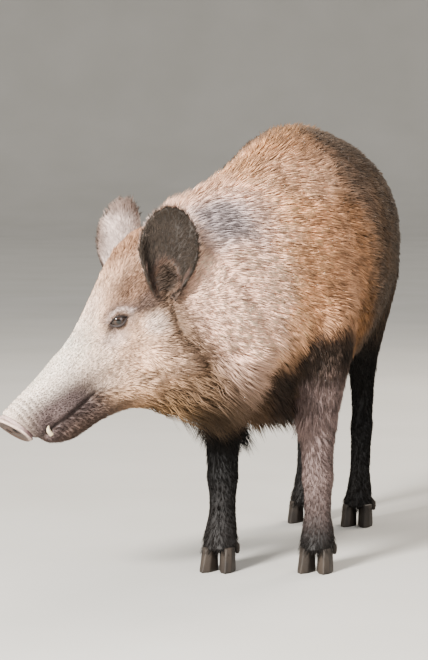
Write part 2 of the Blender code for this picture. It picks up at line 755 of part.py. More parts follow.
def main():
    bpy.context.scene.unit_settings.scale_length = 1.0
    for obj in list(bpy.data.objects):
        bpy.data.objects.remove(obj)
    body = flesh()
    flesh_and_gap = grown(body, "flesh_and_gap", GAP)
    outside(tail("tail"), flesh_and_gap)
    for side, sign in SIDES:
        outside(ear("ear_" + side, side, sign), flesh_and_gap)
    remove(flesh_and_gap)
    head, body = parted(body, head_zone, "head")
    build_head(head)
    body = parted(body, neck_zone, "neck")[1]
    trunk = build_legs(body)
    trunk.name = "trunk"
    collection = bpy.data.collections.new("wild_boar")
    bpy.context.scene.collection.children.link(collection)
    pieces = list(bpy.context.scene.collection.objects)
    centre_on_floor(pieces)
    for piece in pieces:
        collection.objects.link(piece)
        bpy.context.scene.collection.objects.unlink(piece)
        piece.data.shade_smooth()
        piece.data.set_sharp_from_angle(angle=SHARP_EDGE)
        paint(piece)


main()
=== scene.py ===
"""The wild boar's looks: one skin over the flesh, a coat of tufts, eyes, nose, tusks and hooves."""

import math

import bmesh
import bpy
import numpy as np
from numpy.linalg import norm
from mathutils import Matrix, Vector
from mathutils.bvhtree import BVHTree
from mathutils.kdtree import KDTree


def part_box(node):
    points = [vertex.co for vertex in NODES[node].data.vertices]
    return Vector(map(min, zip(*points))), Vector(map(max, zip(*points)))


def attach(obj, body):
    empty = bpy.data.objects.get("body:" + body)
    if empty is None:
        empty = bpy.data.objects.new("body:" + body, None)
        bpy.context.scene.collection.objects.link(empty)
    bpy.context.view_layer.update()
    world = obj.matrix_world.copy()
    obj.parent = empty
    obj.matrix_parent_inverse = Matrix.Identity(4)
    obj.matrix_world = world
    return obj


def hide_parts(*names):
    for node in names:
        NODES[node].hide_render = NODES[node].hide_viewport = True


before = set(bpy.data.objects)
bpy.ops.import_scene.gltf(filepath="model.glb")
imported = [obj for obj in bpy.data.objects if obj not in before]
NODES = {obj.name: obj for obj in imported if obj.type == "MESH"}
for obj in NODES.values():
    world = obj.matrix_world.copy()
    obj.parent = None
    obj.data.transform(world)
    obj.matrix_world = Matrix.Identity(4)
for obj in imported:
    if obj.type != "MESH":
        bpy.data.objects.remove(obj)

for leftover in ("Cube", "Light", "Camera"):
    if leftover in bpy.data.objects:
        bpy.data.objects.remove(bpy.data.objects[leftover])

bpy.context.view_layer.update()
RANDOM = np.random.default_rng(11)

# ---- Frames: the head's own (u forward, v left, w up) and the line of the back ----
HEAD_TURN, HEAD_PITCH = math.radians(53), math.radians(37)
NECK_TURN, NECK_LENGTH = math.radians(45), 0.38
SPINE_END, SPINE_PLACES = NECK_LENGTH + 0.06, 48
EYE_PLACE = np.array((0.15, 0.0475, 0.071))
BEND_FROM_HEAD = (0.0937, 0.306)  # x and y of the place where the neck starts to turn
WORLD_UP = np.array((0.0, 0.0, 1.0))
BATCH = 20000  # points placed along the back at once


def level(turn):
    """The level direction of something that has turned this far to its right."""
    return np.array((-math.sin(turn), -math.cos(turn), 0.0))


FORWARD = level(HEAD_TURN) * math.cos(HEAD_PITCH) - WORLD_UP * math.sin(HEAD_PITCH)
LEFT = np.cross(WORLD_UP, level(HEAD_TURN))
AXES = np.array((FORWARD, LEFT, np.cross(FORWARD, LEFT)))  # the head's own
EYE_LOW, EYE_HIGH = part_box("eye_left")
HEAD = np.array((EYE_LOW + EYE_HIGH) / 2) - EYE_PLACE @ AXES
BEND = HEAD[:2] + BEND_FROM_HEAD


def in_head(points):
    return (points - HEAD) @ AXES.T


def from_head(points):
    return HEAD + np.asarray(points) @ AXES


def folded(heads):
    """Places in the head's axes with the right side laid over the left."""
    return np.column_stack([heads[:, 0], np.abs(heads[:, 1]), heads[:, 2]])


def unit(vectors):
    return vectors / np.maximum(norm(vectors, axis=-1, keepdims=True), 1e-9)


def ease(values, start, end):
    """0 up to start and 1 from end on, smooth between them."""
    x = np.clip((values - start) / (end - start), 0.0, 1.0)
    return x * x * (3 - 2 * x)


def bell(distance, width):
    return np.exp(-((distance / width) ** 2))


def spine():
    """Lengths, places and headings on the line of the back, from the bend forward."""
    lengths = np.linspace(0.0, SPINE_END, SPINE_PLACES)
    turns = NECK_TURN * np.clip(lengths / NECK_LENGTH, 0, 1)
    headings = np.array([level(t)[:2] for t in turns])
    steps = (headings[1:] + headings[:-1]) / 2 * np.diff(lengths)[:, None]
    places = BEND + np.vstack([np.zeros(2), np.cumsum(steps, axis=0)])
    return lengths, places, headings


def along_body(points):
    """(s forward along the back from the bend, t to its left, heading) of each point."""
    lengths, places, headings = spine()
    nearest = np.empty(len(points), int)
    for start in range(0, len(points), BATCH):
        part = slice(start, start + BATCH)
        gaps = ((points[part, None, :2] - places[None]) ** 2).sum(-1)
        nearest[part] = gaps.argmin(1)
    away = points[:, :2] - places[nearest]
    ahead = headings[nearest]
    s = lengths[nearest] + (away * ahead).sum(1)
    t = away[:, 1] * ahead[:, 0] - away[:, 0] * ahead[:, 1]
    return s, t, np.column_stack([ahead, np.zeros(len(points))])


HASH_AXES = np.array((73856093, 19349663, 83492791))
HASH_SEED, HASH_MIX = 7919, 1274126177


def value_noise(points, size, seed=0):
    """Smooth random values from 0 to 1, with features of this size."""
    cell = np.floor(points / size).astype(np.int64)
    inside = ease(points / size - cell, 0, 1)
    total = np.zeros(len(points))
    for corner in np.ndindex(2, 2, 2):
        key = (cell + corner) @ HASH_AXES + seed * HASH_SEED
        key = (key ^ (key >> 13)) * HASH_MIX
        random = ((key ^ (key >> 16)) & 0xFFFF) / 0xFFFF
        share = np.where(corner, inside, 1 - inside).prod(1)
        total += share * random
    return total


# ---- Mesh tools ----
def new_object(name, mesh):
    made = bpy.data.objects.new(name, mesh)
    bpy.context.scene.collection.objects.link(made)
    return made


def object_from(bm, name):
    """bm as a new object, and bm freed."""
    mesh = bpy.data.meshes.new(name)
    bm.to_mesh(mesh)
    bm.free()
    return new_object(name, mesh)


def evaluated(obj, name):
    """obj's mesh with its modifiers applied, as a new object in its place."""
    bpy.context.view_layer.update()
    graph = bpy.context.evaluated_depsgraph_get()
    mesh = bpy.data.meshes.new_from_object(obj.evaluated_get(graph))
    bpy.data.objects.remove(obj)
    return new_object(name, mesh)


def welded(names, grow=0.0):
    """One bmesh of these CAD nodes, each closed and pushed out by grow, and each face's node."""
    whole, owners = bmesh.new(), []
    for index, name in enumerate(names):
        bm = bmesh.new()
        bm.from_mesh(NODES[name].data)
        bmesh.ops.remove_doubles(bm, verts=bm.verts, dist=1e-5)
        bm.normal_update()
        for vertex in bm.verts:
            vertex.co += vertex.normal * grow
        mesh = bpy.data.meshes.new("welded")
        bm.to_mesh(mesh)
        bm.free()
        owners += [index] * len(mesh.polygons)
        whole.from_mesh(mesh)
        bpy.data.meshes.remove(mesh)
    return whole, np.array(owners)


def remeshed(name, nodes, voxel, grow=0.0):
    """These CAD nodes as one object of even faces, with everything inside them gone."""
    piece = object_from(welded(nodes, grow)[0], name)
    remesh = piece.modifiers.new("remesh", "REMESH")
    remesh.mode, remesh.voxel_size = "VOXEL", voxel
    return evaluated(piece, name)


def array_of(collection, attribute, width, kind=np.float32):
    """This attribute of every element, one row each."""
    flat = np.empty(len(collection) * width, kind)
    collection.foreach_get(attribute, flat)
    return flat.reshape(-1, width).astype(float if kind == np.float32 else kind)


def points_of(mesh):
    return array_of(mesh.vertices, "co", 3)


def normals_of(mesh):
    return array_of(mesh.vertex_normals, "vector", 3)


def edges_of(mesh):
    return array_of(mesh.edges, "vertices", 2, np.int32)


def triangles_of(mesh):
    mesh.calc_loop_triangles()
    return array_of(mesh.loop_triangles, "vertices", 3, np.int32)


def set_points(mesh, points):
    mesh.vertices.foreach_set("co", points.astype(np.float32).ravel())
    mesh.update()


def tint_points(mesh, colours, layer="tint"):
    tint = mesh.color_attributes.new(layer, "FLOAT_COLOR", "POINT")
    alpha = np.ones((len(colours), 1))
    tint.data.foreach_set("color", np.hstack([colours, alpha]).astype(np.float32).ravel())


def spread(values, edges, rounds, share=0.5):
    """values after each vertex has moved towards its neighbours' mean, rounds times."""
    count = len(values)
    one, other = edges.T
    degree = np.maximum(np.bincount(edges.ravel(), minlength=count), 1)
    columns = values.reshape(count, -1).copy()
    share = np.broadcast_to(np.asarray(share, float), (count,))
    for _ in range(rounds):
        for k in range(columns.shape[1]):
            column = columns[:, k]
            total = np.bincount(one, column[other], count)
            total += np.bincount(other, column[one], count)
            columns[:, k] = column + share * (total / degree - column)
    return columns.reshape(values.shape)


def largest_island(obj):
    """Leaves only the island with the most vertices."""
    one, other = edges_of(obj.data).T
    label = np.arange(len(obj.data.vertices))
    while True:
        low = np.minimum(label[one], label[other])
        new = label.copy()
        np.minimum.at(new, one, low)
        np.minimum.at(new, other, low)
        new = new[new]
        if (new == label).all():
            break
        label = new
    keep = np.bincount(label).argmax()
    if (label == keep).all():
        return
    bm = bmesh.new()
    bm.from_mesh(obj.data)
    bmesh.ops.delete(bm, geom=[v for v in bm.verts if label[v.index] != keep], context="VERTS")
    bm.to_mesh(obj.data)
    bm.free()


# ---- Skin ----
LEGS = [f"{pair}_{side}" for pair in ("fore", "hind") for side in ("left", "right")]
# region: CAD nodes, coat depth, smoothing, and the tufts' length, width and lift in degrees
TABLE = {
    "head": (["head"], 0.0045, 0.1, 0.018, 0.0017, 19),
    "snout": (["snout"], 0.0015, 0.08, 0.006, 0.001, 17),
    "jaw": (["lower_jaw"], 0.0045, 0.1, 0.024, 0.0018, 20),
    "ear": (["ear_left", "ear_right"], 0.0014, 0.03, 0.012, 0.001, 15),
    "neck": (["neck"], 0.012, 0.5, 0.036, 0.0023, 18),
    "trunk": (["trunk"], 0.012, 0.5, 0.038, 0.0025, 17),
    "thigh": ([leg + "_upper_leg" for leg in LEGS], 0.007, 0.3, 0.026, 0.0021, 15),
    "shank": ([leg + "_lower_leg" for leg in LEGS], 0.0025, 0.12, 0.012, 0.0014, 14),
    "tail": (["tail"], 0.003, 0.08, 0.019, 0.0016, 12),
}
REGIONS, DEPTH, EVEN_OUT, LENGTH, WIDTH, LIFT = (
    dict(zip(TABLE, column)) for column in zip(*TABLE.values())
)
FLESH = [node for nodes in REGIONS.values() for node in nodes]
EYES = ["eye_left", "eye_right"]
TUSKS = ["tusk_left", "tusk_right"]
HOOVES = [node for node in NODES if "hoof" in node or "dewclaw" in node]
VOXEL, ROUNDS, DEPTH_ROUNDS = ((0.0032, 44, 30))
GROW = 0.0005  # solids are pushed out by this, so that they run together
BODY_FACES = 90000  # triangles of the skin behind the face
FACE_FROM = (0.045, -0.14)  # lowest u and w of the face
NEAR_EYE, CLOSE_TO_EYE = 0.05, 0.028


def tree_of(names):
    """A search tree of these CAD nodes' faces, and each face's node."""
    whole, owners = welded(names)
    tree = BVHTree.FromBMesh(whole)
    whole.free()
    return tree, owners


def region_shares(points, edges, rounds):
    """{region: how much each point belongs to it}, soft where regions meet."""
    names = FLESH + EYES
    tree, owners = tree_of(names)
    nearest = np.array([tree.find_nearest(p)[2] for p in points.tolist()])
    keys = list(REGIONS)
    lookup = np.array(
        [[n in REGIONS[k] or (k == "head" and n in EYES) for k in keys] for n in names], float
    )
    shares = spread(lookup[owners[nearest]], edges, rounds)
    return dict(zip(keys, shares.T))


def soft_muzzle(shares, heads):
    """shares with the snout's beginning little by little along the face."""
    both = shares["head"] + shares["snout"]
    snout = both * ease(heads[:, 0], 0.15, 0.29)
    return dict(shares, head=both - snout, snout=snout)


def mixed(shares, table):
    return sum(shares[key] * table[key] for key in shares)


def raw_skin():
    """The flesh and eyes as one closed form, with the facets smoothed away."""
    skin = remeshed("skin", FLESH + EYES, VOXEL, GROW)
    largest_island(skin)
    mesh = skin.data
    edges, points = edges_of(mesh), points_of(mesh)
    shares = region_shares(points, edges, 6)
    points = spread(points, edges, ROUNDS, mixed(shares, EVEN_OUT))
    set_points(mesh, points)
    depth = spread(mixed(shares, DEPTH), edges, DEPTH_ROUNDS)
    tree = tree_of(TUSKS + HOOVES)[0]
    off_hard = np.array([tree.find_nearest(p)[3] for p in points.tolist()])
    depth = depth * ease(off_hard, 0.003, 0.016)
    set_points(mesh, points - normals_of(mesh) * depth[:, None])
    return skin


EYE_RADIUS = 0.0142
EYE_CENTRE = EYE_PLACE + (0.0, -0.001, 0.0)
EYE_LOOKS = unit((0.3, 0.93, 0.1))
FISSURE = unit((1.0, 0.0, 0.24) - EYE_LOOKS * 0.324)
LID_UP = np.cross(FISSURE, EYE_LOOKS)
HALF_FISSURE = math.radians(68)
UPPER_LID, LOWER_LID = math.radians(27), math.radians(22)
LID = 0.0017  # how far the lids stand off the eyeball


def beside_eye(heads):
    """(offset from the nearer eye's centre, gap outside the lids' edges, up and forward of it)."""
    away = folded(heads) - EYE_CENTRE
    x, y, z = away @ FISSURE, away @ LID_UP, away @ EYE_LOOKS
    across, height = np.arctan2(x, z), np.arctan2(y, z)
    room = np.clip(1 - (across / HALF_FISSURE) ** 2, 0, None) ** 0.75
    over = np.maximum(height - UPPER_LID * room, -height - LOWER_LID * room)
    ends = np.maximum(np.abs(across) - HALF_FISSURE, 0)
    gap = np.where(z > 0, np.hypot(np.maximum(over, -9), ends) * np.sign(over), 3.0)
    return away, np.where(over < 0, over, gap) * EYE_RADIUS, y, x


def brow(fore, above):
    """Distance from the eye, in rings that follow the brow."""
    return np.hypot(fore * 0.8 + 0.002, above * 1.08)


def refine(skin):
    """Finer faces round the eyes and over the snout and mouth, and finer again round the eyes."""
    bm = bmesh.new()
    bm.from_mesh(skin.data)
    for close in (False, True):
        heads = in_head(np.array([v.co for v in bm.verts]))
        near = norm(folded(heads) - EYE_CENTRE, axis=1) < (CLOSE_TO_EYE if close else NEAR_EYE)
        if not close:
            near |= (heads[:, 0] > 0.2) & (np.abs(heads[:, 1]) < 0.08) & (heads[:, 2] > -0.12)
        chosen = [e for e in bm.edges if near[e.verts[0].index] and near[e.verts[1].index]]
        bmesh.ops.subdivide_edges(bm, edges=chosen, cuts=1, use_grid_fill=True)
        bm.verts.index_update()
    bm.to_mesh(skin.data)
    bm.free()
    points, edges = points_of(skin.data), edges_of(skin.data)
    heads = in_head(points)
    share = 0.5 * ease(heads[:, 0], 0.04, 0.08)
    set_points(skin.data, spread(points, edges, 4, share))


MOUTH = (0.243, 0.36, -0.0065)  # from u, to u, w
NOSE_PLACE, NOSE_TILT = (0.394, 0.0265), math.radians(15)  # the disc's middle (u, w), its lean
TEAR_LINE = ((0.164, 0.072), (0.178, 0.066), (0.196, 0.055))  # (u, w), from the eye's corner
CREASE = ((0.059, 0.06), (0.088, -0.01), (0.076, -0.09))  # behind the cheek, (u, w)


def off_line(u, w, line):
    """Distance in (u, w) to a bent line, and how far along it the nearest place is, 0 to 1."""
    best, share = np.full(len(u), 9.0), np.zeros(len(u))
    for i, ((u0, w0), (u1, w1)) in enumerate(zip(line, line[1:])):
        du, dw = u1 - u0, w1 - w0
        t = np.clip(((u - u0) * du + (w - w0) * dw) / (du * du + dw * dw), 0, 1)
        gap = np.hypot(u - u0 - t * du, w - w0 - t * dw)
        share = np.where(gap < best, (i + t) / (len(line) - 1), share)
        best = np.minimum(best, gap)
    return best, share


def off_disc(heads):
    """How far each point is in front of the nose disc's middle and above it, in its axes."""
    du, dw = heads[:, 0] - NOSE_PLACE[0], heads[:, 2] - NOSE_PLACE[1]
    cos, sin = math.cos(NOSE_TILT), math.sin(NOSE_TILT)
    return du * cos - dw * sin, du * sin + dw * cos


def sculpt(skin):
    """Mouth, folds, lids and the crease behind the cheek, pressed into the skin or raised on it."""
    points, normals = points_of(skin.data), normals_of(skin.data)
    heads = in_head(points)
    u, v, w = heads.T
    away, _, above, fore = beside_eye(heads)
    reach = norm(away, axis=1)
    start, end, mouth_w = MOUTH
    mouth = bell(w - mouth_w, 0.003) * ease(u, start - 0.006, start + 0.01)
    mouth *= ease(-u, -end, -end + 0.01)
    raised = -0.0034 * mouth
    lips = ease(u, start, start + 0.02)
    raised += 0.0014 * lips * bell(w - 0.003, 0.0045) + 0.001 * lips * bell(w + 0.0145, 0.005)
    off = off_line(u, w, CREASE)[0]
    side = ease(np.abs(v), 0.045, 0.06) * (u > -0.05)
    raised -= 0.007 * bell(off, 0.013) * side
    raised += 0.003 * bell(np.hypot(u - 0.125, w + 0.005), 0.035) * side
    # temple, cheekbone, the fold from the eye's front corner and the folds above it
    raised -= 0.0025 * bell(np.hypot(u - 0.105, w - 0.095), 0.018) * side
    tear, down_it = off_line(u, w, TEAR_LINE)
    raised -= 0.0014 * bell(tear, 0.003) * (np.abs(v) > 0.02) * (1 - ease(down_it, 0.4, 1.0))
    uneven = 1 + 0.25 * np.sin(fore / 0.004 + above / 0.009)
    for distance, depth, width in ((0.0225, 0.0011, 0.0018), (0.029, 0.0008, 0.0024)):
        ring = bell(brow(fore, above) - distance, width)
        raised -= depth * uneven * ring * ease(above / reach, 0.15, 0.8)
    ring = np.hypot(fore * 0.75, above * 1.2)
    raised -= 0.0009 * uneven * bell(ring - 0.0225, 0.0022) * ease(-above / reach, 0.3, 0.8)
    # wrinkles across the snout, most of all behind the disc
    wave = np.sin(u / 0.0068 * 2 * math.pi / 1.6 + 1.2 * np.sin(v / 0.012))
    raised += 0.0004 * wave * ease(u, 0.31, 0.37) * ease(w, 0.01, 0.03)
    points = points + normals * raised[:, None]
    # lids
    heads = in_head(points)
    away, gap, above, fore = beside_eye(heads)
    reach = norm(away, axis=1, keepdims=True)
    lid = EYE_RADIUS + LID * ease(gap, -0.0006, 0.0006) - 0.003 * ease(-gap, -0.0004, 0.0008)
    fold = 0.0009 * bell(gap - 0.0042, 0.0012) - 0.001 * bell(gap - 0.0018, 0.0012)
    lid = lid - fold + 0.1 * np.maximum(gap, 0)
    hold = (1 - ease(gap, 0.003, 0.012)) * (reach[:, 0] < 0.03)
    aim = away / reach * lid[:, None]
    moved = away + (aim - away) * hold[:, None]
    placed = moved + EYE_CENTRE
    placed[:, 1] *= np.where(heads[:, 1] < 0, -1, 1)
    points = np.where(hold[:, None] > 0, from_head(placed), points)
    set_points(skin.data, points)


def lighten(skin):
    """Fewer faces behind the face, where the coat hides them."""
    mesh = skin.data
    heads = in_head(points_of(mesh))
    group = skin.vertex_groups.new(name="coarse")
    behind = (heads[:, 0] < FACE_FROM[0]) | (heads[:, 2] < FACE_FROM[1])
    group.add(np.nonzero(behind)[0].tolist(), 1.0, "REPLACE")
    sizes = [(len(p.vertices) - 2, behind[p.vertices[0]]) for p in mesh.polygons]
    total = sum(size for size, _ in sizes)
    face = sum(size for size, hidden in sizes if not hidden)
    thin = skin.modifiers.new("thin", "DECIMATE")
    thin.ratio = min((face + BODY_FACES) / total, 1.0)
    thin.use_collapse_triangulate = True
    thin.vertex_group, thin.vertex_group_factor = group.name, 0.0
    skin = evaluated(skin, "skin")
    skin.data.shade_smooth()
    return skin


# ---- Markings with painted light and shade: the same on skin and coat ----
def rgb(*values):
    """A linear colour from one given as 0 to 255."""
    c = np.array(values) / 255
    return np.where(c <= 0.04045, c / 12.92, ((c + 0.055) / 1.055) ** 2.4)


# region: colour, where it isn't that down the body
BASE = dict(head=rgb(216, 178, 150), snout=rgb(238, 214, 194), jaw=rgb(196, 156, 122))
BASE.update(ear=rgb(200, 180, 172), shank=rgb(50, 43, 38), tail=rgb(72, 57, 44))
# Down the body from neck to rump: s, colour. The dark rear tones are dark hair with painted shade,
# where the body turns away from the light.
DOWN_THE_BODY = (
    (0.3, (254, 208, 182)),
    (0.26, (253, 203, 172)),
    (0.235, (250, 196, 156)),
    (0.2, (246, 188, 142)),
    (0.16, (226, 168, 125)),
    (0.085, (196, 147, 111)),
    (0.04, (168, 122, 86)),
    (0.0, (128, 95, 68)),
    (-0.06, (98, 76, 58)),
    (-0.15, (78, 62, 49)),
    (-0.3, (68, 55, 44)),
)
# On the head, both sides alike: centre (u, v, w) and radii in mm, colour, strength.
HEAD_MARKS = (
    ((330, 0, 60), (90, 60, 30), (246, 230, 214), 0.9),
    ((210, 0, 105), (100, 50, 40), (232, 206, 188), 0.7),
    ((185, 70, 52), (35, 50, 22), (232, 206, 194), 0.8),
    ((112, 80, 34), (26, 60, 24), (246, 220, 204), 0.9),
    ((240, 50, 34), (60, 50, 24), (238, 212, 192), 0.8),
    ((322, 45, -12), (120, 120, 120), (96, 81, 79), 1.0),
    ((288, 45, 0), (45, 50, 36), (62, 52, 51), 0.5),
    ((285, 0, 78), (125, 80, 54), (248, 231, 216), 0.9),
    ((310, 20, -50), (80, 70, 42), (96, 77, 68), 0.95),
    ((180, 55, -30), (80, 50, 30), (206, 168, 136), 0.6),
    ((98, 64, 98), (74, 55, 44), (104, 74, 57), 0.8),
    ((92, 75, 68), (58, 50, 24), (84, 68, 62), 0.95),
    ((50, 0, 155), (90, 70, 50), (150, 108, 80), 0.8),
    # dark beard hair, with painted shadow under the jaw
    ((125, 0, -122), (180, 100, 62), (58, 45, 31), 0.97),
    # painted shadow along the jaw's lower edge
    ((165, 55, -86), (80, 45, 30), (70, 53, 38), 0.9),
    ((200, 0, -85), (100, 60, 28), (132, 102, 70), 0.85),
)
# On the body, both sides alike: centre (s, t, z) and radii in mm, colour, strength.
BODY_MARKS = (
    ((330, 120, 500), (110, 90, 190), (255, 212, 188), 0.8),
    ((150, 80, 700), (110, 110, 60), (236, 194, 164), 0.5),
    ((-100, 0, 770), (220, 240, 120), (76, 61, 49), 0.85),
    ((-10, 120, 690), (100, 120, 85), (98, 82, 72), 0.7),
    # dark rump hair, deepened as painted shade where the body turns away from the light
    ((-450, 0, 620), (240, 240, 300), (66, 54, 44), 0.7),
    ((-5, 150, 430), (90, 70, 80), (132, 90, 52), 0.7),
    ((-200, 0, 300), (330, 200, 90), (62, 52, 45), 0.9),
    # The next three are painted shade under the brisket, the neck's bulge and the elbows, over hair
    # that is darker there too.
    ((185, 0, 308), (250, 165, 118), (66, 50, 35), 0.96),
    ((143, 150, 384), (130, 95, 90), (40, 33, 29), 0.97),
    ((155, 90, 345), (115, 110, 55), (46, 38, 33), 0.95),
    ((320, 75, 636), (105, 70, 66), (186, 176, 180), 0.8),
    ((322, 72, 624), (50, 60, 36), (122, 114, 118), 0.55),
)
CREST_WIDTH = 0.03
BETWEEN_LEGS = 0.1  # y of a place between the forelegs and the hind legs
EAR_OPENS = np.array((0.45, 0.89, 0.0))
EAR_HOLLOW = (0.052, 0.076, 0.086)  # the head's surface between the ear's two edges


def blob(places, centre, radii):
    """1 in the middle of an ellipsoid and 0 outside it, on both sides of the midline."""
    return 1 - ease(norm((folded(places) - centre) / radii, axis=1), 0.35, 1.15)


def blended(colour, mask, tint):
    """colour, with tint over it where the mask is 1."""
    mask = np.clip(mask, 0, 1)[:, None]
    return colour * (1 - mask) + tint * mask


def ear_inside(normals, heads):
    """1 on the hollow side of the ears and 0 on their backs."""
    turned = normals @ AXES.T
    turned[:, 1] *= np.where(heads[:, 1] < 0, -1, 1)
    return ease(turned @ EAR_OPENS, -0.1, 0.3)


def behind_cheek(shares, u, w):
    """shares with what lies behind the cheek's crease counted as neck."""
    behind = ease(-u, -0.085, -0.045) * (1 - ease(w, 0.05, 0.1))
    moved = (shares["head"] + shares["jaw"]) * behind
    kept = {key: shares[key] * (1 - behind) for key in ("head", "jaw")}
    return dict(shares, neck=shares["neck"] + moved, **kept)


def markings_and_painted_light(points, normals, shares):
    """The coat's linear colour at each point, with painted light and shade in it."""
    heads = in_head(points)
    u, v, w = heads.T
    z = points[:, 2]
    shares = behind_cheek(shares, u, w)
    s, t = along_body(points)[:2]
    body = np.column_stack([s, t, z])
    body += 0.05 * (np.column_stack([value_noise(points, 0.045, k) for k in (11, 12, 13)]) - 0.5)
    s = s + 0.07 * (value_noise(points, 0.055) - 0.5) + 0.05 * (value_noise(points, 0.02, 5) - 0.5)
    places, tones = zip(*reversed(DOWN_THE_BODY))
    down = np.column_stack([np.interp(s, places, tone) for tone in rgb(*tones).T])
    colour = sum(shares[key][:, None] * BASE.get(key, down) for key in shares)

    def paint(mask, *tint):
        nonlocal colour
        colour = blended(colour, mask, rgb(*tint))

    def paint_marks(marks, places, where):
        for centre, radii, tint, strength in marks:
            spot = blob(places, *np.array((centre, radii)) / 1000)
            paint(strength * where * spot, *tint)

    legs = shares["thigh"] + shares["shank"]
    # Painted light and shade on the legs: the near foreleg gets a sunlit grey-brown and the other
    # legs a shaded near-black, lit and shaded copies of one coat.
    near = ((points[:, 1] < BETWEEN_LEGS) & (t > 0))[:, None]
    thigh = np.where(near, rgb(144, 122, 118), rgb(17, 16, 17))
    colour = blended(colour, legs * ease(-z, -0.44, -0.34), thigh)
    paint(legs * ease(-z, -0.2, -0.05), 28, 25, 24)
    on_body = shares["neck"] + shares["trunk"] + shares["thigh"] * ease(z, 0.32, 0.385)
    paint_marks(BODY_MARKS, body, on_body)
    top = ease(z, 0.6, 0.66) * on_body
    paint(0.5 * top * bell(t, CREST_WIDTH), 168, 120, 74)
    ear = shares["ear"]
    paint_marks(HEAD_MARKS, heads, 1 - ear)
    side = ease(np.abs(v), 0.03, 0.05) * (1 - ear)
    # painted shade in the crease behind the cheek
    off = off_line(u, w, CREASE)[0]
    paint(0.85 * bell(off, 0.03) * side, 92, 72, 56)
    away, gap, above, fore = beside_eye(heads)
    reach = norm(away, axis=1)
    paint(0.4 * (1 - ease(reach, 0.018, 0.034)), 170, 144, 134)
    # a painted highlight along the upper lid, and painted shade in the fold above it
    arc = brow(fore, above)
    over = ease(above, 0.0, 0.006)
    paint(0.6 * bell(arc - 0.0185, 0.003) * over, 216, 196, 192)
    paint(0.7 * bell(arc - 0.024, 0.0032) * over, 92, 74, 68)
    paint(bell(np.maximum(gap - 0.001, 0), 0.0042) * (reach < 0.03), 40, 31, 30)
    paint(0.9 * bell(np.hypot(fore - 0.016, above + 0.006), 0.0065), 48, 38, 37)
    tear, down_it = off_line(u, w, TEAR_LINE)
    paint(bell(tear, 0.0085) * side * (1 - 0.5 * down_it), 50, 40, 38)
    # painted shade in the hollow between the ear's edges, where it meets the head
    hollow = norm(folded(heads) - EAR_HOLLOW, axis=1)
    paint(0.95 * (1 - ease(hollow, 0.02, 0.034)) * (1 - ear), 50, 41, 35)
    inside = ear * ear_inside(normals, heads)
    root, axis = EAR_SEATS[1]
    up_ear = (folded(heads) - root) @ axis
    edge = np.maximum(ease(np.abs(across_ear(heads)), 0.032, 0.048), ease(up_ear, 0.118, 0.14))
    paint(0.75 * ear * edge, 92, 70, 58)
    paint(0.9 * ear * ease(-up_ear, -0.05, -0.02), 84, 64, 50)
    # the dark inside of the ears, partly their own colour and partly painted shade in the hollow
    paint(0.97 * inside, 34, 27, 19)
    rim = 4 * inside * (1 - inside)
    paint(0.9 * rim, 62, 43, 35)
    mouth = bell(w - MOUTH[2], 0.004) * ease(u, MOUTH[0] - 0.01, MOUTH[0] + 0.01)
    paint(0.7 * mouth * (1 - ear), 60, 48, 44)
    return colour


# ---- The lie of the coat ----
EAR_SEATS = {  # side: root, unit vector from root to tip
    1: ((0.07, 0.074, 0.058), unit((-0.595, 0.22, 0.775))),
    -1: ((0.066, -0.074, 0.068), unit((-0.56, -0.2, 0.81))),
}


def ear_sideways(sign):
    """The unit vector across the ear, from edge to edge."""
    axis, opens = EAR_SEATS[sign][1], EAR_OPENS * (1, sign, 1)
    return np.cross(axis, unit(opens - axis * (opens @ axis)))


def across_ear(heads):
    """How far each point is from its ear's middle line, towards one edge."""
    offs = [(heads - EAR_SEATS[sign][0]) @ ear_sideways(sign) for sign in (1, -1)]
    return np.where(heads[:, 1] > 0, *offs)


def fan_of_ear(heads):
    """Along the ear towards its tip, and outward near its edges."""
    out = np.clip(across_ear(heads) / 0.035, -1.2, 1.2)[:, None] * 0.9
    ways = [EAR_SEATS[sign][1] + out * ear_sideways(sign) for sign in (1, -1)]
    return np.where(heads[:, 1:2] > 0, *ways) @ AXES


def lie_of_coat(points, normals, shares, edges):
    """The direction each hair runs in, along the skin."""
    heads = in_head(points)
    u, v, w = heads.T
    heading = along_body(points)[2]
    sag = 0.3 + 0.9 * ease(-points[:, 2], -0.5, -0.34)
    body = -heading - sag[:, None] * WORLD_UP
    leg = np.array((0.0, 0.22, -1.0))
    low = ease(-w, -0.05, 0.03) * ease(-u, -0.26, -0.12) * ease(np.abs(v), 0.02, 0.05)
    head = -FORWARD - (0.1 + 1.1 * low)[:, None] * AXES[2]
    jaw = -FORWARD - 0.9 * AXES[2] - 0.3 * WORLD_UP
    ways = dict(head=head, snout=-FORWARD, jaw=jaw, ear=fan_of_ear(heads), neck=body)
    ways.update(trunk=body, thigh=body * 0.4 + leg, shank=leg, tail=leg)
    lie = sum(shares[key][:, None] * unit(ways[key]) for key in shares)
    swirl = np.sin(points @ (31, 17, 23)) + np.sin(points @ (-13, 41, 19) + 1)
    lie += 0.1 * swirl[:, None] * np.cross(normals, lie)
    lie = spread(lie, edges, 4)
    return unit(lie - normals * (lie * normals).sum(1, keepdims=True))


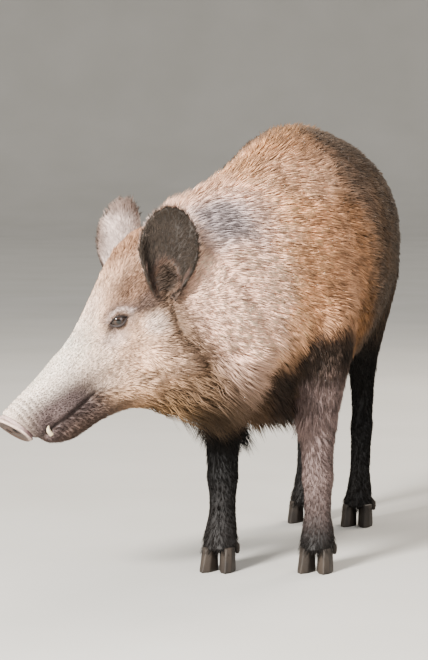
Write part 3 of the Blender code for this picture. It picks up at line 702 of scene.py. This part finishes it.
def growth(points, normals, shares):
    """Length, width, lift, unevenness of tone, and how closely tufts stand, at each point."""
    heads = in_head(points)
    u, v, w = heads.T
    s, t = along_body(points)[:2]
    z = points[:, 2]
    length, width, lift = mixed(shares, LENGTH), mixed(shares, WIDTH), mixed(shares, LIFT)

    def shrink(mask, shorter, thinner):
        nonlocal length, width
        length, width = length * (1 - shorter * mask), width * (1 - thinner * mask)

    def grow(mask, longer, wider, higher):
        nonlocal length, width, lift
        length, width, lift = length + longer * mask, width + wider * mask, lift + higher * mask

    low = ease(-z, -0.34, -0.13) * (shares["thigh"] + shares["shank"])
    length, width = length * (1 - low) + 0.012 * low, width * (1 - low) + 0.0014 * low
    coronet = ease(-z, -0.075, -0.05) * shares["shank"]
    grow(coronet, 0.012, 0, 6)
    face = shares["head"] * ease(u, 0.06, 0.2) * ease(w, -0.02, 0.03)
    shrink(face, 0.42, 0.2)
    cheeks = shares["head"] + shares["jaw"]
    jowl = cheeks * ease(-w, -0.03, 0.05) * ease(-u, -0.27, -0.15)
    grow(jowl, 0.012, 0.0005, 6)
    front = ease(u, 0.2, 0.3) * cheeks
    shrink(front, 0.5, 0.3)
    away, gap, above = beside_eye(heads)[:3]
    reach = norm(away, axis=1)
    close = 1 - ease(reach, 0.016, 0.036)
    shrink(close, 0.45, 0.4)
    lashes = ((gap > 0.0012) & (gap < 0.0035) & (above > 0.002) & (reach < 0.02)).astype(float)
    grow(lashes, 0.006, 0, 30)
    crest = ease(z, 0.6, 0.66) * bell(t, CREST_WIDTH)
    crest *= shares["neck"] + shares["trunk"]
    grow(crest, 0, 0, 16)
    grow(blob(heads, (0.11, 0.0, -0.118), (0.2, 0.1, 0.062)), 0.07, 0.0006, 42)  # beard
    brisket = blob(np.column_stack([s, t, z]), (0.2, 0.0, 0.29), (0.2, 0.13, 0.07))
    grow(brisket, 0.046, 0, 32)
    hollow = ear_inside(normals, heads)
    length = length + 0.04 * shares["ear"] * hollow * (1 - hollow)
    on_body = shares["neck"] + shares["trunk"] + shares["thigh"]
    speckle = 0.45 + 1.05 * ease(-s, -0.27, -0.12) * on_body + 0.25 * (1 - on_body)
    speckle -= 0.45 * shares["snout"]
    bare = (gap < 0.0012) & (reach < 0.03)
    bare |= (off_disc(heads)[0] > -0.01) & (np.abs(v) < 0.06)
    grows = np.where(bare, 0.0, np.clip(0.014 / length, 0.6, 2.4))
    return dict(length=length, width=width, lift=lift, speckle=speckle, grows=grows)


# ---- Coat pieces ----
# name: tufts, closed spikes with a bend (True) or without (False)
COATS = {
    f"coat_{part}_{side}": (count, True)
    for part, count in (("neck", 14000), ("middle", 14000), ("rear", 14000), ("head", 15500))
    for side in ("left", "right")
}
COATS.update(coat_snout=(26000, False), coat_forelegs=(20000, False))
COATS.update(coat_hindlegs=(20000, False), coat_ears=(17000, False))
MIDDLE_FROM, REAR_FROM = 0.06, -0.24  # where pieces end along the back
SNOUT_FROM, LEGS_BELOW, RAGGED = 0.215, 0.36, 0.05
PATCH = 0.0015  # half of a tuft's patch on the bake map
LENGTHS, WIDTHS, LIFTS = (0.65, 1.15), (0.7, 1.2), (0.5, 1.35)  # how far tufts differ
SWAY, FLATNESS, JOINT_WIDTH = 0.13, 0.5, 0.42
TUFTS_IN_LOCK, PULLS, LOCK_TONE = 9, (0.25, 0.65), 0.45  # how tufts gather to a leading one
VARY, DARK_PART, DARK_TONE = 0.17, 0.15, 0.42  # how uneven the tone is, and how many are dark
STRAW = np.array((1.0, 0.74, 0.5))  # what the tips are lightened with
STRAW_LEAST, STRAW_BENT, STRAW_PLAIN = 0.008, 0.11, 0.04
# BEHIND_TONE darkens the skin under the coat, as the bristles' dark roots and as painted shade
# between the tufts.
BEHIND_TONE, FACE_TONE = 0.58, 0.26  # the skin's tone under the coat, and more on the face


def coat_of_faces(centres, shares):
    """The name of the coat piece that each face belongs to."""
    heads = in_head(centres)
    s, t = along_body(centres)[:2]
    names = np.where(s > REAR_FROM, "coat_middle", "coat_rear")
    names = np.where(s > MIDDLE_FROM, "coat_neck", names)
    head = shares["head"] + shares["snout"] + shares["jaw"] > 0.5
    names = np.where(head, "coat_head", names)
    across = np.where(head, heads[:, 1], t)
    names = np.char.add(names, np.where(across > 0, "_left", "_right"))
    ragged = heads[:, 0] + RAGGED * (value_noise(centres, 0.009) - 0.5)
    names = np.where(head & (ragged > SNOUT_FROM), "coat_snout", names)
    legs = (centres[:, 2] < LEGS_BELOW) & (shares["thigh"] + shares["shank"] > 0.5)
    pair = np.where(centres[:, 1] < BETWEEN_LEGS, "coat_forelegs", "coat_hindlegs")
    names = np.where(legs, pair, names)
    names = np.where(shares["tail"] > 0.5, "coat_hindlegs", names)
    return np.where(shares["ear"] > 0.5, "coat_ears", names)


def unwrapped(points, faces):
    """(u, v) of each corner of these faces, on an unwrap of their own shape."""
    used, inverse = np.unique(faces, return_inverse=True)
    mesh = bpy.data.meshes.new("region")
    mesh.from_pydata(points[used].tolist(), [], inverse.reshape(-1, 3).tolist())
    region = new_object("region", mesh)
    bpy.ops.object.select_all(action="DESELECT")
    region.select_set(True)
    bpy.context.view_layer.objects.active = region
    bpy.ops.object.mode_set(mode="EDIT")
    bpy.ops.mesh.select_all(action="SELECT")
    bpy.ops.uv.smart_project(angle_limit=math.radians(66), island_margin=0.004)
    bpy.ops.object.mode_set(mode="OBJECT")
    corners = array_of(mesh.uv_layers[0].data, "uv", 2)
    bpy.data.objects.remove(region)
    return corners.reshape(-1, 3, 2)


def mesh_from(name, points, faces, uvs, tints):
    """A mesh from arrays: faces are lists of equal-sized arrays of corners."""
    sizes = np.concatenate([np.full(len(f), f.shape[1], np.int32) for f in faces])
    corners = np.concatenate([f.ravel() for f in faces]).astype(np.int32)
    mesh = bpy.data.meshes.new(name)
    mesh.vertices.add(len(points))
    set_points(mesh, points)
    mesh.loops.add(len(corners))
    mesh.loops.foreach_set("vertex_index", corners)
    mesh.polygons.add(len(sizes))
    mesh.polygons.foreach_set("loop_start", (np.cumsum(sizes) - sizes).astype(np.int32))
    layer = mesh.uv_layers.new(name="OFBake")
    layer.data.foreach_set("uv", uvs[corners].astype(np.float32).ravel())
    tint_points(mesh, tints)
    mesh.update(calc_edges=True)
    mesh.validate()
    mesh.shade_smooth()
    return mesh


def leaders_of(roots):
    """For each tuft the nearest of a few leading ones, which its lock gathers to."""
    leading = roots[::TUFTS_IN_LOCK].tolist()
    tree = KDTree(len(leading))
    for index, place in enumerate(leading):
        tree.insert(place, index * TUFTS_IN_LOCK)
    tree.balance()
    return np.array([tree.find(place)[1] for place in roots.tolist()])


def coat_piece(name, count, bent, faces, fields):
    """Tufts all over these faces, each a thin closed spike along the lie of the coat."""
    count = count
    uvs = unwrapped(fields["point"], faces)
    corners = fields["point"][faces]
    one, other = corners[:, 1] - corners[:, 0], corners[:, 2] - corners[:, 0]
    area = norm(np.cross(one, other), axis=1)
    area *= fields["grows"][faces].min(1)
    total = np.cumsum(area)
    picks = RANDOM.permutation(np.arange(count) + RANDOM.random(count)) / count * total[-1]
    chosen = np.minimum(np.searchsorted(total, picks), len(faces) - 1)
    a, b = np.sqrt(RANDOM.random(count)), RANDOM.random(count)
    mix = np.column_stack([1 - a, a * (1 - b), a * b])

    def at(field):
        picked = fields[field][faces[chosen]]
        return (picked * mix.reshape(count, 3, *([1] * (picked.ndim - 2)))).sum(1)

    root_uv = (uvs[chosen] * mix[:, :, None]).sum(1)
    normal, lie = unit(at("normal")), unit(at("lie"))
    length = at("length") * RANDOM.uniform(*LENGTHS, count)
    width = at("width") * RANDOM.uniform(*WIDTHS, count)
    lift = np.radians(at("lift") * RANDOM.uniform(*LIFTS, count))
    side = np.cross(lie, normal)
    sway = RANDOM.normal(0, SWAY, count)[:, None]
    lie = unit(lie + side * sway)
    side = unit(np.cross(lie, normal))
    rise = np.sin(lift)[:, None]
    first = lie * np.cos(lift)[:, None] + normal * rise
    second = unit(lie - side * sway * 0.6 + normal * rise * (0.3 + 0.5 * rise))
    up = np.cross(side, first)
    root = at("point") - normal * np.minimum(0.0008, length * 0.04)[:, None]
    shade, speckle = at("colour"), at("speckle")
    vary = (RANDOM.normal(0.0, VARY, count) * speckle).clip(-0.45, 0.45)
    dark = np.where(RANDOM.random(count) < DARK_PART * speckle, DARK_TONE, 1.0)
    patchy = value_noise(root, 0.016) * (0.5 + value_noise(root, 0.006, 3)) - 0.5
    shade = shade * ((1 + vary) * dark * (1 + 0.5 * speckle * patchy))[:, None]
    circle = [(math.cos(turn), math.sin(turn)) for turn in np.radians((90, 210, 330))]

    def around(centre, radius):
        radius = radius[:, None]
        return [centre + (side * x + up * y * FLATNESS) * radius for x, y in circle]

    joint = root + first * (length * 0.5)[:, None]
    tip = joint + second * (length * 0.5)[:, None]
    leader = leaders_of(root)
    pull = RANDOM.uniform(*PULLS, count)[:, None]
    tip += ((tip[leader] + (root - root[leader]) * 0.2) - tip) * pull
    joint += ((joint[leader] + (root - root[leader]) * 0.7) - joint) * pull * 0.6
    shade += (shade[leader] - shade) * LOCK_TONE
    rings = around(root, width * 0.5)
    # darker roots: the bristles' dark bases, and painted shade deep in the coat
    deep = 0.38 + 0.4 * shade.mean(1) if bent else 1 - 0.54 * speckle
    tones = [shade * deep[:, None]] * 3
    spots = [*circle]
    if bent:
        rings += around(joint, width * JOINT_WIDTH)
        tones += [shade * 0.95] * 3
        spots += [(0.5 * x, 0.5 * y) for x, y in circle]
    rings.append(tip)
    most = STRAW_BENT if bent else STRAW_PLAIN
    straw = STRAW * (STRAW_LEAST + most * RANDOM.random((count, 1)) ** 2)
    straw = straw * np.minimum(0.2 + 2 * shade.mean(1, keepdims=True), 1)
    tones.append(np.clip(shade * 1.15 + straw, 0, 0.95))
    spots.append((0.0, 0.0))
    verts = np.stack(rings, axis=1).reshape(-1, 3)
    tints = np.stack(tones, axis=1).reshape(-1, 3)
    spots = (root_uv[:, None, :] + np.array(spots)[None] * PATCH).reshape(-1, 2)
    base = (np.arange(count) * len(rings))[:, None, None]
    ends = [(3, 4, 6), (4, 5, 6), (5, 3, 6)] if bent else [(0, 1, 3), (1, 2, 3), (2, 0, 3)]
    made = [(np.array(ends + [(2, 1, 0)])[None] + base).reshape(-1, 3)]
    if bent:
        walls = np.array([(0, 1, 4, 3), (1, 2, 5, 4), (2, 0, 3, 5)])
        made.append((walls[None] + base).reshape(-1, 4))
    return new_object(name, mesh_from(name, verts, made, np.clip(spots, 0, 1), tints))


# ---- Materials ----
def wired(tree, made, inputs):
    """The node made, with its inputs set to values or linked to other nodes' outputs."""
    for key, value in inputs.items():
        if isinstance(value, bpy.types.NodeSocket):
            tree.links.new(value, made.inputs[key])
        else:
            made.inputs[key].default_value = value
    return made


def node(tree, kind, inputs):
    return wired(tree, tree.nodes.new("ShaderNode" + kind), inputs)


def material(name, roughness, specular):
    made = bpy.data.materials.new(name)
    made.use_nodes = True
    tree = made.node_tree
    inputs = {"Roughness": roughness, "Specular IOR Level": specular}
    return made, tree, wired(tree, tree.nodes["Principled BSDF"], inputs)


def noise(tree, scale, detail=3.0, stretch=(1, 1, 1), turn=(0, 0, 0)):
    """A noise texture in object coordinates, turned and then stretched."""
    place = node(tree, "TexCoord", {}).outputs["Object"]
    turned = node(tree, "Mapping", {"Vector": place, "Rotation": turn}).outputs["Vector"]
    sized = node(tree, "Mapping", {"Vector": turned, "Scale": stretch}).outputs["Vector"]
    inputs = {"Vector": sized, "Scale": scale, "Detail": detail}
    return node(tree, "TexNoise", inputs).outputs["Fac"]


def ramp(tree, value, *stops):
    """value turned into a colour by (place, colour) stops."""
    made = node(tree, "ValToRGB", {"Fac": value})
    elements = made.color_ramp.elements
    while len(elements) < len(stops):
        elements.new(0.5)
    for element, (place, colour) in zip(elements, stops):
        element.position = place
        element.color = (*colour, 1.0)
    return made.outputs["Color"]


def greys(tree, value, *stops):
    return ramp(tree, value, *((place, (grey,) * 3) for place, grey in stops))


def multiplied(tree, first, second):
    mix = node(tree, "Mix", {})
    mix.data_type, mix.blend_type = "RGBA", "MULTIPLY"
    return wired(tree, mix, {"Factor": 1.0, "A": first, "B": second}).outputs["Result"]


def bumped(tree, shader, height, strength, distance):
    inputs = {"Height": height, "Strength": strength, "Distance": distance}
    wired(tree, shader, {"Normal": node(tree, "Bump", inputs).outputs["Normal"]})


def layer_of(tree, name):
    made = node(tree, "VertexColor", {})
    made.layer_name = name
    return made.outputs["Color"]


def tinted(name, roughness, specular, low, high, scale):
    """A material whose colour is the piece's tint, mottled by a noise."""
    made, tree, shader = material(name, roughness, specular)
    mottle = greys(tree, noise(tree, scale), (0.3, low), (0.7, high))
    wired(tree, shader, {"Base Color": multiplied(tree, layer_of(tree, "tint"), mottle)})
    return made, tree, shader


BRISTLE = 620.0  # scale of the noise for bristles and the nose's grain


def skin_material():
    """Fine short bristles drawn out along the face, and down the legs."""
    made, tree, shader = tinted("skin", 0.7, 0.3, 0.8, 1.08, 60.0)
    turn = Matrix(AXES.tolist()).to_euler()
    face = noise(tree, BRISTLE, 3.0, (0.16, 1, 1), turn)
    legs = noise(tree, BRISTLE, 3.0, (1, 1, 0.16))
    inputs = {"Factor": layer_of(tree, "limb"), "A": face, "B": legs}
    grain = node(tree, "Mix", inputs).outputs["Result"]
    bristles = greys(tree, grain, (0.3, 0.68), (0.62, 1.1))
    plain = shader.inputs["Base Color"].links[0].from_socket
    wired(tree, shader, {"Base Color": multiplied(tree, plain, bristles)})
    bumped(tree, shader, grain, 0.6, 0.0012)
    return made


def nose_material():
    made, tree, shader = tinted("nose", 0.5, 0.4, 0.62, 1.16, 260.0)
    bumped(tree, shader, noise(tree, BRISTLE), 0.8, 0.0014)
    return made


def two_toned(name, roughness, specular, grain, *stops):
    """A material between two colours, by a noise with these settings."""
    made, tree, shader = material(name, roughness, specular)
    wired(tree, shader, {"Base Color": ramp(tree, noise(tree, *grain), *stops)})
    return made, tree, shader


def hoof_material():
    """Dark horn with faint streaks down it and rings round it."""
    tones = (0.3, rgb(30, 26, 23)), (0.8, rgb(54, 46, 39))
    made, tree, shader = two_toned("hoof", 0.62, 0.25, (60.0, 4.0, (1, 1, 0.12)), *tones)
    bumped(tree, shader, noise(tree, 160.0, 3.0, (0.3, 0.3, 2.5)), 0.4, 0.0008)
    return made


def tusk_material():
    tones = (0.3, rgb(184, 164, 130)), (0.8, rgb(216, 200, 170))
    return two_toned("tusk", 0.35, 0.5, (90.0,), *tones)[0]


# from the ball's edge to its middle: (place, colour)
EYE_TONES = (
    (0.5, rgb(44, 34, 29)),
    (0.8, rgb(20, 14, 11)),
    (0.88, rgb(44, 28, 19)),
    (0.945, rgb(34, 21, 14)),
    (0.96, rgb(4, 4, 4)),
)


def eye_material(looks, centre):
    """Dark brown, with a darker pupil in the middle of where the eye looks."""
    made, tree, shader = material("eye", 0.08, 0.4)
    place = node(tree, "TexCoord", {}).outputs["Object"]
    offset = node(tree, "VectorMath", {0: place, 1: centre})
    offset.operation = "SUBTRACT"
    facing = node(tree, "VectorMath", {0: offset.outputs[0], 1: looks / EYE_RADIUS})
    facing.operation = "DOT_PRODUCT"
    colour = ramp(tree, facing.outputs["Value"], *EYE_TONES)
    inputs = {"Base Color": colour, "Coat Weight": 0.4, "Coat Roughness": 0.03}
    wired(tree, shader, inputs)
    return made


# ---- Hard pieces ----
def eyeballs():
    for name, sign in (("eye_left", 1), ("eye_right", -1)):
        centre = from_head(EYE_CENTRE * (1, sign, 1))
        looks = (EYE_LOOKS * (1, sign, 1)) @ AXES
        bm = bmesh.new()
        place = Matrix.Translation(Vector(centre))
        bmesh.ops.create_uvsphere(bm, u_segments=40, v_segments=24, radius=EYE_RADIUS, matrix=place)
        ball = object_from(bm, name + "_ball")
        ball.data.shade_smooth()
        ball.data.materials.append(eye_material(looks, centre))
        dress(ball, "eye", name)


NOSE_RADIUS, NOSTRIL_SPREAD = 0.034, 0.014


def nose():
    """The rooting disc, with a soft rim and two deep nostrils; a painted highlight runs along the
    rim and painted shade fills the nostrils.
    """
    disc = remeshed("rooting_disc", ["nose_disc"], 0.0011)
    points = spread(points_of(disc.data), edges_of(disc.data), 10)
    set_points(disc.data, points)
    normals = normals_of(disc.data)
    heads = in_head(points)
    v = heads[:, 1]
    ahead, high = off_disc(heads)
    disc_axis = np.array((math.cos(NOSE_TILT), 0.0, -math.sin(NOSE_TILT))) @ AXES
    out = np.hypot(v, high) / NOSE_RADIUS
    front = ease(ahead, -0.002, 0.004)
    raised = 0.001 * bell(out - 0.88, 0.1) * front - 0.0012 * bell(out - 0.55, 0.2) * front
    raised -= 0.0012 * bell(v, 0.0022) * ease(high, 0.012, 0.028)
    pit = np.hypot((np.abs(v) - NOSTRIL_SPREAD) / 0.0085, (high - 0.001) / 0.0075)
    raised += 0.001 * bell(pit - 1.15, 0.25) * front
    back = ease(-ahead, 0.001, 0.007)
    points = points + normals * (raised - 0.0003 - 0.0009 * back)[:, None]
    turned = 0.1 * (v + NOSE_RADIUS) + 0.05 * (NOSE_RADIUS - high)
    moved = 0.003 * back + np.maximum(turned, 0) * ease(ahead, -0.004, 0.003)
    set_points(disc.data, points - moved[:, None] * disc_axis)
    disc.data.shade_smooth()
    shade = blended(rgb(96, 71, 72), ease(high, -0.012, 0.012), rgb(172, 148, 142))
    # dark brown front face, partly its own colour and partly painted shade
    shade = blended(shade, front, rgb(70, 46, 33))
    # a painted highlight along the front rim
    rim = bell(out - 0.94, 0.06) * ease(ahead, -0.001, 0.004)
    shade = blended(shade, rim, rgb(206, 180, 168))
    # painted shade deep in the nostrils
    deep = ease(-pit, -1.05, -0.75) * np.maximum(front, ease(-ahead, 0.002, 0.007))
    shade = blended(shade, deep, rgb(22, 16, 15))
    tint_points(disc.data, shade)
    disc.data.materials.append(nose_material())
    dress(disc, "nose", "nose_disc")


HOOF_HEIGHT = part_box("fore_left_inner_hoof")[1][2]
TUSK_RISE = 0.018  # how far a tusk stands above the mouth's line


def hard_parts(name, nodes, slot, made, voxel, rounds, root_rise=0.0, sweep=0.0):
    """Hard nodes as one rounded piece: flat soles, roots run into the skin, tusks swept back."""
    piece = remeshed(name, nodes, voxel)
    start = points_of(piece.data)
    points = spread(start, edges_of(piece.data), rounds)
    points[:, 2] = np.where(start[:, 2] < voxel, start[:, 2], points[:, 2])
    up = ease(points[:, 2], HOOF_HEIGHT - 0.008, HOOF_HEIGHT)
    points[:, 2] += root_rise * up * (start[:, 2] < HOOF_HEIGHT + 0.003)
    rise = np.maximum(in_head(points)[:, 2] - MOUTH[2], 0)
    points -= sweep * (rise**2 / TUSK_RISE)[:, None] * FORWARD
    set_points(piece.data, points)
    piece.data.shade_smooth()
    piece.data.materials.append(made)
    dress(piece, slot, *nodes)


def dress(piece, slot, *nodes):
    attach(piece, "root")
    if nodes:
        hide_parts(*nodes)


# ---- Floor, lights and camera ----
CAMERA_TURN, CAMERA_RISE, CAMERA_FAR = math.radians(13), math.radians(4), 5.0
CAMERA_AIM = (-0.0399, 0.038, 0.41)
CAMERA_LENS = 227.1


SENSOR, CLIP_END = 36.0, 60.0
WORLD_COLOUR, WORLD_STRENGTH = rgb(240, 237, 232), 1.1
LAMPS_AIM = (0.05, -0.1, 0.45)
# name: place, size, power, colour
LAMPS = {
    "key": ((-1.4, -4.7, 2.6), 1.3, 1600, (1.0, 0.965, 0.91)),
    "fill": ((3.6, -2.6, 1.8), 3.0, 90, (0.95, 0.97, 1.0)),
    "rim": ((1.0, 3.4, 3.4), 1.6, 240, (1.0, 0.9, 0.78)),
}


def aimed(name, data, place, aim):
    """A lamp or camera at this place, turned towards aim."""
    made = new_object(name, data)
    made.location = place
    made.rotation_euler = (Vector(aim) - Vector(place)).to_track_quat("-Z", "Y").to_euler()
    return made


# radius and height of the floor and its wall, which stands behind the cameras all round
FLOOR_RINGS = ((0, 0), (5, 0), (17, 0), (18, 0.1), (19, 0.42), (19.8, 1), (20.2, 2.2), (20.3, 6))


def studio():
    """A pale floor that sweeps up into a low wall all round, and soft lamps."""
    bm = bmesh.new()
    profile = [bm.verts.new((radius, 0.0, height)) for radius, height in FLOOR_RINGS]
    line = profile + [bm.edges.new(pair) for pair in zip(profile, profile[1:])]
    bmesh.ops.spin(bm, geom=line, axis=(0, 0, 1), cent=(0, 0, 0), angle=math.tau, steps=64)
    bmesh.ops.remove_doubles(bm, verts=bm.verts, dist=1e-4)
    floor = object_from(bm, "floor")
    floor.data.shade_smooth()
    tones = (0.3, rgb(168, 166, 161)), (0.7, rgb(174, 172, 168))
    floor.data.materials.append(two_toned("floor", 0.9, 0.1, (2.0,), *tones)[0])
    world = bpy.data.worlds.new("studio")
    world.use_nodes = True
    light = {"Color": (*WORLD_COLOUR, 1.0), "Strength": WORLD_STRENGTH}
    wired(world.node_tree, world.node_tree.nodes["Background"], light)
    bpy.context.scene.world = world
    for name, (place, size, power, colour) in LAMPS.items():
        data = bpy.data.lights.new(name, "AREA")
        data.shape, data.size, data.energy, data.color = "DISK", size, power, colour
        aimed(name, data, place, LAMPS_AIM).visible_camera = False


def camera():
    data = bpy.data.cameras.new("camera")
    data.lens, data.sensor_width, data.sensor_fit = CAMERA_LENS, SENSOR, "HORIZONTAL"
    data.clip_end = CLIP_END
    flat = math.cos(CAMERA_RISE) * CAMERA_FAR
    way = (math.sin(CAMERA_TURN) * flat, -math.cos(CAMERA_TURN) * flat)
    place = Vector(CAMERA_AIM) + Vector((*way, math.sin(CAMERA_RISE) * CAMERA_FAR))
    bpy.context.scene.camera = aimed("camera", data, place, CAMERA_AIM)


# ==== ASSEMBLE
def main():
    skin = raw_skin()
    refine(skin)
    sculpt(skin)
    skin = lighten(skin)
    mesh = skin.data
    points, normals, edges = points_of(mesh), normals_of(mesh), edges_of(mesh)
    shares = soft_muzzle(region_shares(points, edges, 4), in_head(points))
    colour = markings_and_painted_light(points, normals, shares)
    fields = dict(point=points, normal=normals, colour=colour)
    fields["lie"] = lie_of_coat(points, normals, shares, edges)
    fields.update(growth(points, normals, shares))
    # the skin under the coat is darkened as painted shade between the tufts, and is lighter where
    # the face is bare
    bare = ease(in_head(points)[:, 0], 0.16, 0.34)
    tint_points(mesh, colour * (BEHIND_TONE + FACE_TONE * bare)[:, None])
    limb = shares["thigh"] + shares["shank"] + shares["tail"]
    tint_points(mesh, np.repeat(limb[:, None], 3, axis=1), "limb")
    mesh.materials.append(skin_material())
    dress(skin, "body_coat", *FLESH)
    faces = triangles_of(mesh)
    centre = {key: value[faces].mean(1) for key, value in shares.items()}
    names = coat_of_faces(points[faces].mean(1), centre)
    made = tinted("coat", 0.72, 0.12, 0.78, 1.12, 26.0)[0]
    for name, (count, bent) in COATS.items():
        piece = coat_piece(name, count, bent, faces[names == name], fields)
        piece.data.materials.append(made)
        slot = "head_coat" if name.split("_")[1] in ("head", "snout", "ears") else "body_coat"
        dress(piece, "leg_coat" if "legs" in name else slot)
    eyeballs()
    nose()
    hard_parts("hooves", HOOVES, "hoof", hoof_material(), 0.0012, 10, root_rise=0.007)
    hard_parts("tusks", TUSKS, "tusk", tusk_material(), 0.0005, 8, sweep=0.6)
    studio()
    camera()


main()
